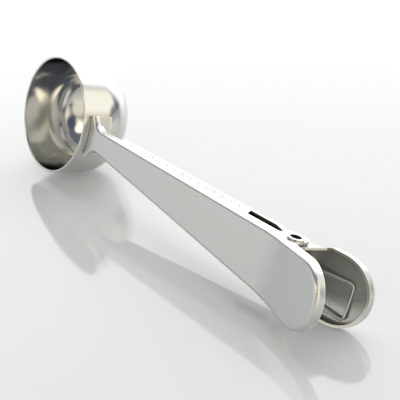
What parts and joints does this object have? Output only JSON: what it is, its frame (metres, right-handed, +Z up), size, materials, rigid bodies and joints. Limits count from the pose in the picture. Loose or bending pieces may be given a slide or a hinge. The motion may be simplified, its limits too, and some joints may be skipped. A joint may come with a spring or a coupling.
{
  "type": "measuring spoon",
  "caption": "Steel measuring scoop with a deep round bowl; its long tapering handle is a sprung bag clip with toothed jaws and finger pads, shown lying on its side.",
  "frame": {"origin": "middle of the bounding box, on the surface that the spoon lies on", "axes": "+Z up, +X along the handle from the bowl to the finger pads, the bowl's mouth facing -Y and a little upwards"},
  "size_m": [0.1764, 0.0348, 0.0447],
  "materials": {
    "polished_steel": "mirror-polished stainless steel",
    "jaw_steel": "stainless sheet, satin broad faces with fine lengthwise grain",
    "rivet_steel": "bright rolled tube",
    "spring_steel": "drawn spring wire"
  },
  "bodies": {
    "scoop": {"bowl": "polished_steel", "upper_jaw": "jaw_steel", "rivet": "rivet_steel", "spring": "spring_steel"},
    "clip_jaw": {"lower_jaw": "jaw_steel"}
  },
  "joints": [
    {"name": "jaw_hinge", "type": "hinge", "parent": "scoop", "child": "clip_jaw", "pos_m": [0.06264, -0.00321, 0.01464], "axis": [-0.0532, -0.3007, -0.9522], "range_deg": [0, 33], "stiffness_Nm_per_rad": 0.4, "springref_deg": -57.3, "deforming": ["spring"]}
  ]
}
